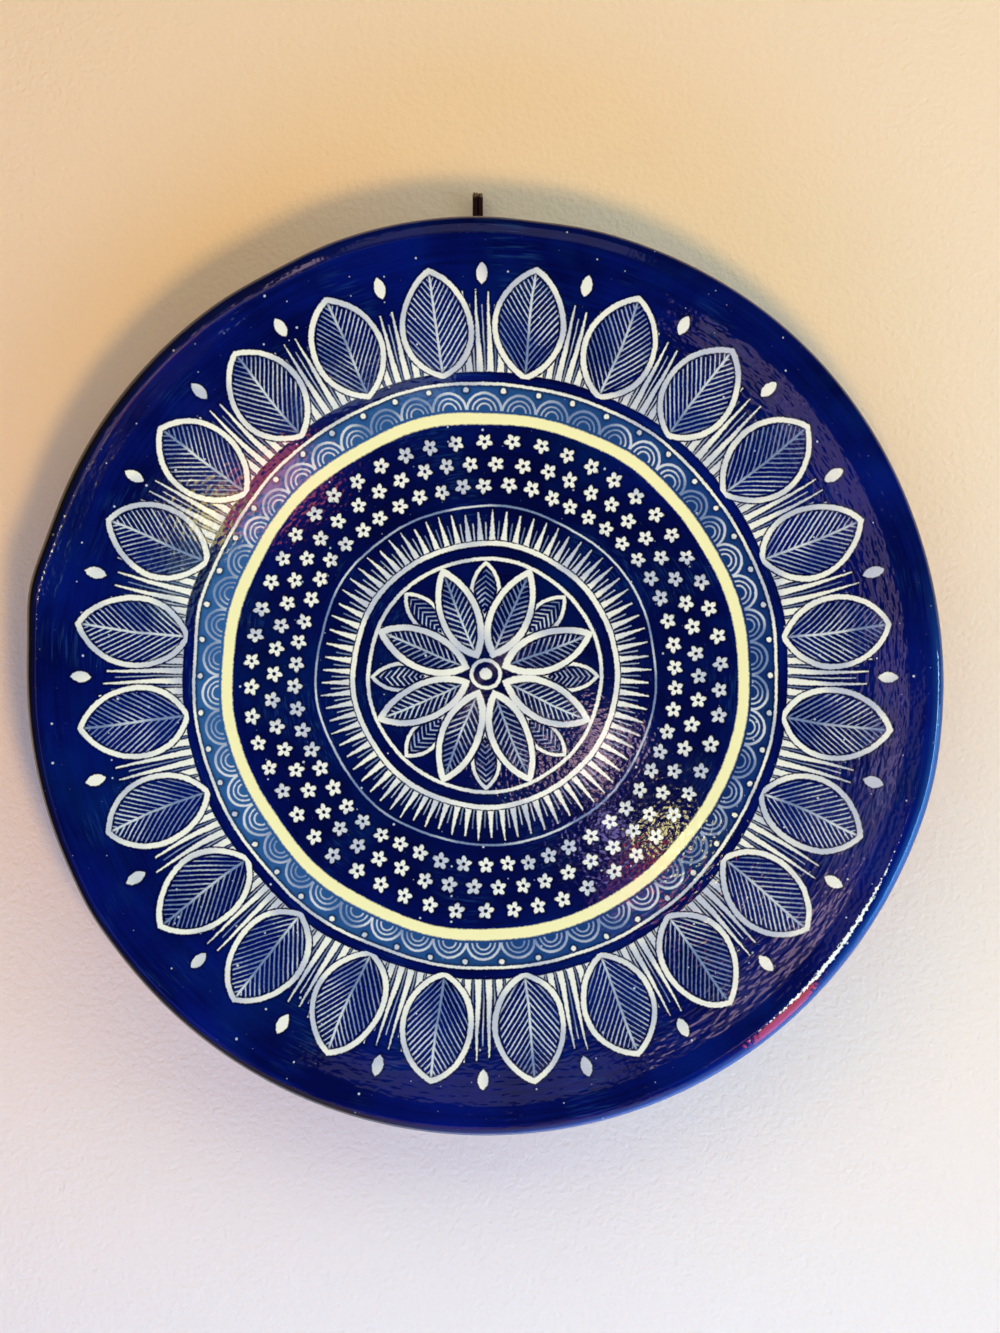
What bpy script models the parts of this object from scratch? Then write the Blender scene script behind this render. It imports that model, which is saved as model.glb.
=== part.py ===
"""Ceramic wall plate: a shallow hand-formed dish on a foot ring, hung by a twisted iron wire.

Metres, +Z up. The plate hangs upright with its face towards -Y. The origin is where the nail
carries the hanging wire, and the wall is the plane that the foot ring rests against.
"""

import math

import bmesh
import bpy
from mathutils import Vector

MM = 0.001

# Plate, seen from the front: x to the right, z up, depth measured forward from the wall.
RIM_RADIUS = 180 * MM
CREST_RADIUS = 175.4 * MM  # the highest line of the lip, inside its outer roll
FOOT_OUTER_RADIUS = 100 * MM
FOOT_INNER_RADIUS = 91 * MM
FOOT_DEPTH = 10 * MM
WALL = 8 * MM
DISH_DEPTH = 31 * MM  # from the crest down to the middle of the face
DISH_POWER = 2.3  # how late the face turns up: 2 is a plain bowl, more is flatter in the middle
LIP_CREST_ROUND = 1.6 * MM
LIP_ROLL = 5.2 * MM
ROLL_START = 60  # degrees from straight out, where the crest gives way to the roll
EDGE_ROUND = 1.5 * MM  # the worn edges of the foot ring

# The outline is pressed by hand over a mould, so it is a little out of round.
# (turns around the rim, size, where the first swell is in degrees)
OUTLINE_WAVES = ((2, 0.16 * MM, 114), (4, 0.19 * MM, 56), (6, 0.14 * MM, 44), (7, 0.14 * MM, 46))
# (where in degrees from +X towards +Z, size, half width in degrees)
OUTLINE_DENTS = (
    (83, -0.7 * MM, 5),
    (117, -0.9 * MM, 6),
    (169, 2.0 * MM, 5),
    (346, 0.5 * MM, 7),
    (211, 0.5 * MM, 4),
)
CREST_WAVES = ((2, 0.5 * MM, 60), (3, 0.4 * MM, 200), (7, 0.15 * MM, 20))
# The lip is rolled broader on one side than on the other, which moves its crest in and out.
LIP_LEAN = 1.5 * MM
LIP_BROADEST = 50  # degrees from +X towards +Z
LIP_LEAN_START = 140 * MM

# Hanging wire: one length threaded through two holes in the top of the foot ring.
WIRE_DIAMETER = 1.8 * MM
STRAND_GAP = 0.3 * MM
HOLE_DIAMETER = 4 * MM
HOLE_SPACING = 36 * MM
NAIL_BELOW_RIM = 12 * MM  # the nail is hidden behind the rim
WIRE_OFF_WALL = 5 * MM
TAIL_ABOVE_RIM = 13.1 * MM  # the cut ends stand up behind the rim
TWIST_START = 3 * MM
TWIST_LENGTH = 9 * MM
STRAND_SETBACK = 0.3 * MM  # one end is cut a little shorter than the other
TAIL_SHIFT = -3.9 * MM  # the twist leans left, and above it the tail stands upright

# How finely the round forms are faceted.
TURN_STEPS = 96
WIRE_BEVEL_STEPS = 2

CENTRE_Z = NAIL_BELOW_RIM - RIM_RADIUS
WALL_Y = WIRE_OFF_WALL
FACE_MIDDLE = FOOT_DEPTH + WALL


def clear_scene():
    for thing in list(bpy.data.objects):
        bpy.data.objects.remove(thing, do_unlink=True)


def material(name, colour, roughness, metallic):
    made = bpy.data.materials.new(name)
    made.use_nodes = True
    shader = made.node_tree.nodes["Principled BSDF"]
    shader.inputs["Base Color"].default_value = (*colour, 1)
    shader.inputs["Roughness"].default_value = roughness
    shader.inputs["Metallic"].default_value = metallic
    return made


def add_object(name, data, finish):
    data.materials.append(finish)
    made = bpy.data.objects.new(name, data)
    bpy.context.collection.objects.link(made)
    return made


def arc(centre, radius, start_deg, end_deg, steps):
    """Points of an arc in the (radius, depth) section, from one angle to another."""
    points = []
    for i in range(steps + 1):
        angle = math.radians(start_deg + (end_deg - start_deg) * i / steps)
        points.append((centre[0] + radius * math.cos(angle), centre[1] + radius * math.sin(angle)))
    return points


def face_depth(radius):
    """How far the face stands forward of the wall at a radius."""
    return FACE_MIDDLE + DISH_DEPTH * (radius / CREST_RADIUS) ** DISH_POWER


def face_slope_deg(radius):
    rise = DISH_DEPTH * DISH_POWER / CREST_RADIUS * (radius / CREST_RADIUS) ** (DISH_POWER - 1)
    return math.degrees(math.atan(rise))


def face_points(start, end, steps):
    """Points of the dished face between two radii."""
    radii = [start + (end - start) * i / steps for i in range(steps + 1)]
    return [(radius, face_depth(radius)) for radius in radii]


def underside_points(start, end, steps):
    """Points one wall thickness behind the face, square to it."""
    points = []
    for radius, depth in face_points(start, end, steps):
        lean = math.radians(face_slope_deg(radius))
        points.append((radius + WALL * math.sin(lean), depth - WALL * math.cos(lean)))
    return points


def plate_section():
    """The plate's half section as (radius, depth), from the middle of the face round to the back."""
    shoulder = CREST_RADIUS - LIP_CREST_ROUND
    slope = face_slope_deg(shoulder)
    face = face_points(0, shoulder, 14)
    # The crest is a tight round that leaves the face along its slope.
    lean = math.radians(slope)
    crest_centre = (
        face[-1][0] + LIP_CREST_ROUND * math.sin(lean),
        face[-1][1] - LIP_CREST_ROUND * math.cos(lean),
    )
    crest = arc(crest_centre, LIP_CREST_ROUND, 90 + slope, ROLL_START, 3)[1:]
    # The outer roll runs from the crest over the widest line and back under the rim.
    start = math.radians(ROLL_START)
    roll_centre = (RIM_RADIUS - LIP_ROLL, crest[-1][1] - 0.4 * MM - LIP_ROLL * math.sin(start))
    roll = arc(roll_centre, LIP_ROLL, ROLL_START, -58, 6)
    under_end = FOOT_OUTER_RADIUS + 3 * MM
    under = underside_points(CREST_RADIUS - 9 * MM, under_end, 6)
    foot_top = under[-1][1] - 3 * MM
    foot = [(FOOT_OUTER_RADIUS, foot_top)]
    foot += arc(
        (FOOT_OUTER_RADIUS - EDGE_ROUND, EDGE_ROUND), EDGE_ROUND, 0, -90, 2
    )
    foot += arc(
        (FOOT_INNER_RADIUS + EDGE_ROUND, EDGE_ROUND), EDGE_ROUND, -90, -180, 2
    )
    recess = [
        (FOOT_INNER_RADIUS, FOOT_DEPTH - 2 * MM),
        (FOOT_INNER_RADIUS - 2 * MM, FOOT_DEPTH),
        (FOOT_INNER_RADIUS / 2, FOOT_DEPTH),
        (0, FOOT_DEPTH),
    ]
    return face + crest + roll + under + foot + recess


def wave_sum(waves, degrees):
    return sum(size * math.cos(math.radians(turns * (degrees - at))) for turns, size, at in waves)


def outline_offset(degrees):
    """How far the rim stands in or out of its circle."""
    offset = wave_sum(OUTLINE_WAVES, degrees)
    for where, size, half_width in OUTLINE_DENTS:
        away = (degrees - where + 180) % 360 - 180
        offset += size * math.exp(-((away / half_width) ** 2))
    return offset


def lip_shift(radius, depth, degrees):
    """How far the crest moves in where the lip is broad, fading out down the face and over the roll."""
    if radius < LIP_LEAN_START or depth < face_depth(radius) - WALL / 2:
        return 0
    if radius < CREST_RADIUS:
        share = (radius - LIP_LEAN_START) / (CREST_RADIUS - LIP_LEAN_START)
    else:
        share = (RIM_RADIUS - radius) / (RIM_RADIUS - CREST_RADIUS)
    return -LIP_LEAN * share * math.cos(math.radians(degrees - LIP_BROADEST))


def press_by_hand(mesh):
    """Moves the turned form a little out of true, most at the rim and not at all at the foot."""
    for vertex in mesh.verts:
        x, y, z = vertex.co
        radius = math.hypot(x, z)
        if radius <= FOOT_OUTER_RADIUS:
            continue
        degrees = math.degrees(math.atan2(z, x))
        share = (radius - FOOT_OUTER_RADIUS) / (RIM_RADIUS - FOOT_OUTER_RADIUS)
        offset = outline_offset(degrees) * share + lip_shift(radius, -y, degrees)
        grow = 1 + offset / radius
        vertex.co = (x * grow, y - wave_sum(CREST_WAVES, degrees) * share, z * grow)


def make_plate(finish):
    mesh = bmesh.new()
    section = [mesh.verts.new((radius, -depth, 0)) for radius, depth in plate_section()]
    edges = [mesh.edges.new(pair) for pair in zip(section, section[1:])]
    bmesh.ops.spin(
        mesh,
        geom=section + edges,
        cent=(0, 0, 0),
        axis=(0, 1, 0),
        dvec=(0, 0, 0),
        angle=math.tau,
        steps=TURN_STEPS,
        use_merge=True,
        use_duplicate=False,
    )
    bmesh.ops.remove_doubles(mesh, verts=mesh.verts, dist=0.01 * MM)
    bmesh.ops.recalc_face_normals(mesh, faces=mesh.faces)
    press_by_hand(mesh)
    bmesh.ops.translate(mesh, verts=mesh.verts, vec=(0, WALL_Y, CENTRE_Z))
    data = bpy.data.meshes.new("plate")
    mesh.to_mesh(data)
    mesh.free()
    data.shade_smooth()
    data.set_sharp_from_angle(angle=math.radians(40))
    return add_object("plate", data, finish)


def drill_hanging_holes(plate):
    """Two upright holes through the top of the foot ring, for the wire."""
    top = CENTRE_Z + (FOOT_INNER_RADIUS + FOOT_OUTER_RADIUS) / 2
    for side, name in ((-1, "left"), (1, "right")):
        mesh = bmesh.new()
        bmesh.ops.create_cone(
            mesh,
            cap_ends=True,
            segments=16,
            radius1=HOLE_DIAMETER / 2,
            radius2=HOLE_DIAMETER / 2,
            depth=4 * (FOOT_OUTER_RADIUS - FOOT_INNER_RADIUS),
        )
        data = bpy.data.meshes.new(f"drill_{name}")
        mesh.to_mesh(data)
        mesh.free()
        drill = bpy.data.objects.new(f"drill_{name}", data)
        bpy.context.collection.objects.link(drill)
        drill.location = (side * HOLE_SPACING / 2, 0, top)
        drill.hide_render = True
        drill.display_type = "WIRE"
        cut = plate.modifiers.new(f"hanging_hole_{name}", "BOOLEAN")
        cut.operation = "DIFFERENCE"
        cut.solver = "EXACT"
        cut.object = drill


def smooth_line(points, steps):
    """A Catmull-Rom curve through the points, ends included."""
    padded = [2 * points[0] - points[1]] + points + [2 * points[-1] - points[-2]]
    line = []
    for a, b, c, d in zip(padded, padded[1:], padded[2:], padded[3:]):
        for i in range(steps):
            t = i / steps
            line.append(
                0.5
                * (
                    2 * b
                    + (c - a) * t
                    + (2 * a - 5 * b + 4 * c - d) * t**2
                    + (3 * b - a - 3 * c + d) * t**3
                )
            )
    return line + [points[-1]]


def strand(side, top_z):
    """Half of the wire: from the middle of its run inside the foot ring up to its cut end."""
    apart = (WIRE_DIAMETER + STRAND_GAP) / 2
    ring_top = CENTRE_Z + math.sqrt(FOOT_OUTER_RADIUS**2 - (HOLE_SPACING / 2) ** 2)
    ring_bottom = CENTRE_Z + math.sqrt(FOOT_INNER_RADIUS**2 - (HOLE_SPACING / 2) ** 2)
    hole_x = HOLE_SPACING / 2
    run_z = ring_bottom - 2.2 * MM
    line = [
        Vector((0, 0, run_z)),
        Vector((hole_x - 3.6 * MM, 0, run_z)),
        Vector((hole_x - 0.6 * MM, 0, run_z + 1.4 * MM)),
        Vector((hole_x, 0, ring_bottom + 2.0 * MM)),
        Vector((hole_x - 0.2 * MM, 0, ring_top - 2.0 * MM)),
        Vector((hole_x - 1.6 * MM, 0, ring_top + 3.5 * MM)),
        Vector((apart + 0.9 * MM, 0, -3.5 * MM)),
    ]
    line = smooth_line(line, 5)
    turns = 10
    for i in range(turns + 1):
        angle = math.tau * i / turns
        z = TWIST_START + TWIST_LENGTH * i / turns
        line.append(Vector((apart * math.cos(angle), apart * math.sin(angle), z)))
    line += [Vector((apart, 0, top_z - 2 * MM)), Vector((apart, 0, top_z))]
    placed = []
    for point in line:
        share = min(max(point.z / (TWIST_START + TWIST_LENGTH), 0), 1)
        shift = TAIL_SHIFT * share**2 * (3 - 2 * share)
        placed.append(Vector((side * point.x + shift, side * point.y, point.z)))
    return placed


def make_wire(finish):
    top_z = NAIL_BELOW_RIM + TAIL_ABOVE_RIM
    left = strand(-1, top_z)
    right = strand(1, top_z - STRAND_SETBACK)
    route = left[::-1] + right[1:]
    data = bpy.data.curves.new("hanging_wire", "CURVE")
    data.dimensions = "3D"
    data.bevel_depth = WIRE_DIAMETER / 2
    data.bevel_resolution = WIRE_BEVEL_STEPS
    data.use_fill_caps = True
    spline = data.splines.new("POLY")
    spline.points.add(len(route) - 1)
    for point, place in zip(spline.points, route):
        point.co = (*place, 1)
    return add_object("hanging_wire", data, finish)


def main():
    clear_scene()
    plate = make_plate(material("cobalt_glazed_earthenware", (0.006, 0.014, 0.12), 0.2, 0))
    drill_hanging_holes(plate)
    make_wire(material("oxidised_iron_wire", (0.035, 0.012, 0.006), 0.55, 0.6))


main()
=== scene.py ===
# %% [markdown]
# # A ceramic wall plate
#
# The object is a shallow earthenware dish about 36 cm across. A potter pressed it over a mould,
# rolled its lip, brushed it with cobalt slip, scratched a drawing through the slip to the cream
# clay and fired it under a clear glaze. A twisted iron wire through the foot ring hangs it on a
# nail. The solids of the plate and of the wire are the fixed frame that everything here fits.

import math
from collections import namedtuple

import bmesh
import bpy
from mathutils import Matrix, Vector, noise


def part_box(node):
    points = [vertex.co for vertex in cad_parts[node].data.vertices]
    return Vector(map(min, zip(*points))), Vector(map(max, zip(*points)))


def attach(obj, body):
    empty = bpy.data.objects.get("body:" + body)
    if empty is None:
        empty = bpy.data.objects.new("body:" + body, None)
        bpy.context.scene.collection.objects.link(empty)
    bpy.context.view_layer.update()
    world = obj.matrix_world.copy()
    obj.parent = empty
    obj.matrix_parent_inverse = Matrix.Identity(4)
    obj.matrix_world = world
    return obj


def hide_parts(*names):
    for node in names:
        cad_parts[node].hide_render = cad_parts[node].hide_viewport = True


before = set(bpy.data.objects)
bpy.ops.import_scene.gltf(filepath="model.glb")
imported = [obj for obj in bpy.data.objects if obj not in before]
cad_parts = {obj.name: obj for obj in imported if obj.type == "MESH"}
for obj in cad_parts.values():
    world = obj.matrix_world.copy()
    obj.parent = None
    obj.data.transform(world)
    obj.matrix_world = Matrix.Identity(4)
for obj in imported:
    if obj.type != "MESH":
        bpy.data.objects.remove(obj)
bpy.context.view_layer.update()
print("solids:", sorted(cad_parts))

# %% [markdown]
# ## Sizes
#
# A few sizes in millimetres fix the whole shape, and the rest follows from them. The plate hangs
# upright, so its axis runs along Y. The origin is where the nail carries the wire, hidden a little
# below the rim, and the wall is the plane that the back of the solid touches.

# %% Sizes of the plate
MM = 0.001
RIM_RADIUS = 180.0
CREST_RADIUS = 175.4
FOOT_OUTER, FOOT_INNER, FOOT_DEPTH = 100.0, 91.0, 10.0
WALL = 8.0
DISH_DEPTH, DISH_POWER = 31.0, 2.3
LIP_CREST_ROUND, LIP_ROLL, ROLL_START = 1.6, 5.2, 60.0
EDGE_ROUND = 1.5

NAIL_BELOW_RIM = 12.0
CENTRE_Z = NAIL_BELOW_RIM - RIM_RADIUS
WALL_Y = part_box("plate")[1].y / MM
FACE_MIDDLE = FOOT_DEPTH + WALL
print("plate middle at z", CENTRE_Z, "mm, wall at y", round(WALL_Y, 2), "mm")

# %% [markdown]
# ## Small helpers
#
# Every finish below is a network of nodes. One function adds any node, sets its properties and
# fills its inputs, whether with a number or with a link. Colours are written as the hex values
# that a painter's chart gives, and one function turns them to the linear values that light needs.
# The others name what recurs.


# %% Helpers
def linear(hex_colour):
    """An sRGB hex colour as linear red, green, blue and alpha."""
    shares = [int(hex_colour[i : i + 2], 16) / 255 for i in (1, 3, 5)]
    return (*[((s + 0.055) / 1.055) ** 2.4 if s > 0.04045 else s / 12.92 for s in shares], 1.0)


def add(kind, inputs=(), tree=None, **settings):
    """Adds a node such as TexNoise or Math.ADD, with inputs by place or name: values or links.

    Unless a tree is given, it goes into the tree of what it is linked to.
    """
    links, values = {}, {}
    for place, value in inputs.items() if isinstance(inputs, dict) else enumerate(inputs):
        if isinstance(value, bpy.types.Node):
            value = value.outputs[0]
        (links if isinstance(value, bpy.types.NodeSocket) else values)[place] = value
    tree = tree or next(iter(links.values())).id_data
    kind, _, operation = kind.partition(".")
    made = tree.nodes.new("ShaderNode" + kind)
    if operation:
        made.operation = operation
    for name, value in settings.items():
        setattr(made, name, value)
    for place, value in values.items():
        made.inputs[place].default_value = value
    for place, value in links.items():
        tree.links.new(value, made.inputs[place])
    return made


def plus(*values):
    return add("Math.ADD", values)


def minus(*values):
    return add("Math.SUBTRACT", values)


def times(*values):
    return add("Math.MULTIPLY", values)


def times_plus(*values):
    return add("Math.MULTIPLY_ADD", values)


def mix(*share_and_colours):
    return add("MixRGB", share_and_colours)


def grain(place, width, detail=0.0, rough=0.5):
    """Noise in the plane, whose patches are about as wide as given."""
    inputs = {"Vector": place, "Scale": 1 / width, "Detail": detail, "Roughness": rough}
    return add("TexNoise", inputs, noise_dimensions="2D")


def ramp(value, low, high, bottom=0.0, top=1.0):
    """A value between low and high mapped to between bottom and top, and kept there."""
    ends = {"From Min": low, "From Max": high, "To Min": bottom, "To Max": top}
    return add("MapRange", {"Value": value, **ends})


def surface(tree, colour, roughness, height=None, **more):
    """The end of a finish: its colour, its roughness and its relief in millimetres."""
    inputs = {"Base Color": colour, "Roughness": roughness, **more}
    if height:
        inputs["Normal"] = add("Bump", {"Height": height, "Distance": MM})
    return add("BsdfPrincipled", inputs, tree)


def material(name, finish, *details):
    """A material with the surface that a function of its tree makes."""
    made = bpy.data.materials.new(name)
    made.use_nodes = True
    tree = made.node_tree
    tree.nodes.clear()
    add("OutputMaterial", (finish(tree, *details),))
    return made


def mesh_data(name, mesh):
    """The finished bmesh as the data of an object."""
    data = bpy.data.meshes.new(name)
    mesh.to_mesh(data)
    mesh.free()
    return data


def put(name, data):
    """A new object in the scene."""
    made = bpy.data.objects.new(name, data)
    bpy.context.collection.objects.link(made)
    return made


# %% [markdown]
# ## The section of the plate
#
# A potter thinks of a dish as its section: from the middle of the face to the lip, and back along
# the underside to the foot. Here that is a line of points, each a radius and a depth in front of
# the wall. The face is one smooth curve, flatter in the middle, but for a low ridge beside the
# track of the thumb that pressed the rim. The underside runs a wall's thickness behind it. The
# drawing is laid out in rings, so the line has a point at the edge of each ring. One sweep of
# such a line is truer than a sculpted disc.

# %% Section
RING_EDGES = {"rosette": 49.5, "rays": 70.0, "florets": 98.6, "scallops": 118.4, "leaves": 167.0}
FACE_STEP, BACK_STEP, RECESS_STEP = 2.6, 4.0, 6.0
CREST_STEPS, ROLL_STEPS = 6, 7
THUMB_START, THUMB_RIDGE, THUMB_RISE, RIDGE_CREST = 154.0, 167.0, 0.4, 0.8
CREST_DROP, ROLL_END = 0.4, -58.0
SHOULDER = CREST_RADIUS - LIP_CREST_ROUND
LIP_UNDERCUT, FOOT_FILLET, RECESS_ROUND = 9.0, 3.0, 2.0


def face_depth(radius):
    return FACE_MIDDLE + DISH_DEPTH * (radius / CREST_RADIUS) ** DISH_POWER


def face_lean(radius):
    """The slope of the face as an angle."""
    share = (radius / CREST_RADIUS) ** (DISH_POWER - 1)
    return math.atan(DISH_DEPTH * DISH_POWER / CREST_RADIUS * share)


def thumb_mark(radius):
    """The low ridge left beside the track of the thumb that pressed the rim flatter."""
    inside = (radius - THUMB_START) / (THUMB_RIDGE - THUMB_START)
    outside = (SHOULDER - radius) / (SHOULDER - THUMB_RIDGE)
    return THUMB_RISE * max(min(inside, outside), 0)


def steps_between(stops, longest):
    """Evenly spaced values between stops, no further apart than the longest step."""
    values = [stops[0]]
    for low, high in zip(stops, stops[1:]):
        count = math.ceil(abs(high - low) / longest)
        values += [low + (high - low) * i / count for i in range(1, count + 1)]
    return values


def arc(centre, radius, start, end, steps):
    angles = [math.radians(start + (end - start) * i / steps) for i in range(steps + 1)]
    return [(centre[0] + radius * math.cos(a), centre[1] + radius * math.sin(a)) for a in angles]


def front_section():
    """From the middle of the face over the crest to the widest line, and the roll's centre."""
    stops = [0, *RING_EDGES.values(), THUMB_RIDGE + RIDGE_CREST, SHOULDER]
    radii = steps_between(stops, FACE_STEP)
    face = [(radius, face_depth(radius) + thumb_mark(radius)) for radius in radii]
    lean = face_lean(SHOULDER)
    across, up = LIP_CREST_ROUND * math.sin(lean), LIP_CREST_ROUND * math.cos(lean)
    centre = (SHOULDER + across, face[-1][1] - up)
    crest = arc(centre, LIP_CREST_ROUND, 90 + math.degrees(lean), ROLL_START, CREST_STEPS)
    drop = CREST_DROP + LIP_ROLL * math.sin(math.radians(ROLL_START))
    roll = (RIM_RADIUS - LIP_ROLL, crest[-1][1] - drop)
    return face + crest[1:] + arc(roll, LIP_ROLL, ROLL_START, 0, ROLL_STEPS), roll


def back_section(roll):
    """From under the lip's widest line along the underside and over the foot to the middle."""
    under = []
    stops = [CREST_RADIUS - LIP_UNDERCUT, FOOT_OUTER + FOOT_FILLET]
    for radius in steps_between(stops, BACK_STEP):
        lean = face_lean(radius)
        under.append((radius + WALL * math.sin(lean), face_depth(radius) - WALL * math.cos(lean)))
    top = under[-1][1] - FOOT_FILLET
    foot = [(FOOT_OUTER + 0.7, top + 0.9), (FOOT_OUTER, top - 1.5), (FOOT_OUTER, 7)]
    foot += arc((FOOT_OUTER - EDGE_ROUND, EDGE_ROUND), EDGE_ROUND, 0, -90, 5)
    foot += arc((FOOT_INNER + EDGE_ROUND, EDGE_ROUND), EDGE_ROUND, -90, -180, 5)
    flat, corner = FOOT_INNER - RECESS_ROUND, FOOT_DEPTH - RECESS_ROUND
    recess = [(FOOT_INNER, 5), *arc((flat, corner), RECESS_ROUND, 0, 90, 4)]
    recess += [(r, FOOT_DEPTH) for r in steps_between([flat, 0], RECESS_STEP)[1:]]
    return arc(roll, LIP_ROLL, 0, ROLL_END, 6)[1:] + under + foot + recess


front_line, roll_centre = front_section()
back_line = back_section(roll_centre)
print("section:", len(front_line), "points in front,", len(back_line), "behind")

# %% [markdown]
# ## The hand's marks
#
# A pressed dish is never quite round. Small waves, a few flats and one sharp swell, the same as
# the solid's, move the rim in and out, and the lip is rolled broader on one side. The palm that
# smoothed the face left hollows a few tenths of a millimetre deep, which bend the reflections.

# %% The hand's marks
OUTLINE_WAVES = ((2, 0.16, 114), (4, 0.19, 56), (6, 0.14, 44), (7, 0.14, 46))
OUTLINE_DENTS = ((83, -0.7, 5), (117, -0.9, 6), (169, 2.0, 5), (346, 0.5, 7), (211, 0.5, 4))
CREST_WAVES = ((2, 0.5, 60), (3, 0.4, 200), (7, 0.15, 20))
LIP_LEAN, LIP_BROADEST, LIP_LEAN_START = 1.5, 50, 140
PALM_DEPTH, PALM_WIDTH = 0.3, 30.0


def wave_sum(waves, degrees):
    return sum(size * math.cos(math.radians(turns * (degrees - at))) for turns, size, at in waves)


def outline_offset(degrees):
    offset = wave_sum(OUTLINE_WAVES, degrees)
    for where, size, half_width in OUTLINE_DENTS:
        away = (degrees - where + 180) % 360 - 180
        offset += size * math.exp(-((away / half_width) ** 2))
    return offset


def lip_shift(radius, depth, degrees):
    """How far the crest moves in where the lip is broad."""
    if radius < LIP_LEAN_START or depth < face_depth(radius) - WALL / 2:
        return 0
    if radius < CREST_RADIUS:
        share = (radius - LIP_LEAN_START) / (CREST_RADIUS - LIP_LEAN_START)
    else:
        share = (RIM_RADIUS - radius) / (RIM_RADIUS - CREST_RADIUS)
    return -LIP_LEAN * share * math.cos(math.radians(degrees - LIP_BROADEST))


def pressed(x, depth, z):
    """Where the hand leaves a point of the turned form."""
    radius = math.hypot(x, z)
    palm = 0
    if depth > FOOT_DEPTH + 1:
        palm = PALM_DEPTH * min(noise.noise(Vector((x, depth, z)) / PALM_WIDTH), 0)
    if radius <= FOOT_OUTER:
        return x, depth + palm, z
    degrees = math.degrees(math.atan2(z, x))
    share = (radius - FOOT_OUTER) / (RIM_RADIUS - FOOT_OUTER)
    grow = 1 + (outline_offset(degrees) * share + lip_shift(radius, depth, degrees)) / radius
    return x * grow, depth + wave_sum(CREST_WAVES, degrees) * share + palm, z * grow


# %% [markdown]
# ## Turning the plate
#
# `bmesh.ops.spin` sweeps the section once round the axis, as a wheel would, and merges the last
# step with the first. Each face then takes the finish of the ring that it lies in. The map for
# baking is two discs: a large one for the front, which carries the drawing, and a small one for
# the plain back. A point lies as far from a disc's middle as it does along the section, so that
# nothing is stretched outwards.

# %% Turn the plate
TURN_STEPS = 288
WELD = 0.002
ZONES = [*RING_EDGES, "rim", "back", "foot"]
FRONT_DISC, BACK_DISC = ((0.39, 0.39), 0.383), ((0.81, 0.81), 0.183)  # middle and radius


def walk_along(line):
    """How far along the line each point is."""
    walked = [0.0]
    for before, after in zip(line, line[1:]):
        walked.append(walked[-1] + math.dist(before, after))
    return walked


section = front_line + back_line
runs = walk_along(section)
front_run, whole_run = walk_along(front_line)[-1], runs[-1]


def on_section(vertex):
    """A vertex of the turned form as its radius, depth and distance along the section."""
    place = (math.hypot(vertex.co.x, vertex.co.z), -vertex.co.y)
    nearest_point = min(range(len(section)), key=lambda i: math.dist(section[i], place))
    return (*place, runs[nearest_point])


def zone_of(places):
    radius, depth, run = [sum(values) / len(places) for values in zip(*places)]
    if run < front_run:
        return next((name for name, edge in RING_EDGES.items() if radius < edge), "rim")
    return "foot" if depth < EDGE_ROUND * 0.6 else "back"


def finish_faces(mesh):
    """Gives each face its ring's finish and its place on the map, the back as seen from behind."""
    layer = mesh.loops.layers.uv.new("OFBake")
    known = {vertex: on_section(vertex) for vertex in mesh.verts}
    for face in mesh.faces:
        zone = zone_of([known[vertex] for vertex in face.verts])
        face.material_index = ZONES.index(zone)
        face.smooth = True
        front = zone not in ("back", "foot")
        (u, v), size = FRONT_DISC if front else BACK_DISC
        for loop in face.loops:
            radius, _, run = known[loop.vert]
            share = run / front_run if front else (whole_run - run) / (whole_run - front_run)
            scale = share * size / radius if radius > 0.01 else 0
            across = loop.vert.co.x if front else -loop.vert.co.x
            loop[layer].uv = (u + scale * across, v + scale * loop.vert.co.z)


def turned_plate():
    mesh = bmesh.new()
    line = [mesh.verts.new((radius, -depth, 0)) for radius, depth in section]
    edges = [mesh.edges.new(pair) for pair in zip(line, line[1:])]
    bmesh.ops.spin(
        mesh, geom=line + edges, axis=(0, 1, 0), angle=math.tau, steps=TURN_STEPS, use_merge=True
    )
    bmesh.ops.remove_doubles(mesh, verts=mesh.verts, dist=WELD)
    bmesh.ops.recalc_face_normals(mesh, faces=mesh.faces)
    finish_faces(mesh)
    for vertex in mesh.verts:
        x, depth, z = pressed(vertex.co.x, -vertex.co.y, vertex.co.z)
        vertex.co = Vector((x, WALL_Y - depth, CENTRE_Z + z)) * MM
    return mesh_data("turned_plate", mesh)


plate = put("turned_plate", turned_plate())
print("plate:", len(plate.data.polygons), "faces, section", round(whole_run, 1), "mm long")

# %% [markdown]
# ## Hanging holes
#
# Two holes as wide as a nail's shank go up through the top of the foot ring for the wire. They
# are cut with a Boolean, as in the solid, and it is then applied. Each cutter has a small patch
# of the baking map, so the walls of the holes get texture too.

# %% Hanging holes
HOLE_DIAMETER, HOLE_SPACING = 4.0, 36.0
HOLE_PATCHES = ((-1, 0.86), (1, 0.92))  # which side, and where on the map
PATCH_SIZE, PATCH_HEIGHT = 0.04, 0.06
DRILL_LENGTH = 4 * (FOOT_OUTER - FOOT_INNER)
SHARP_ANGLE = 50


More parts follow.
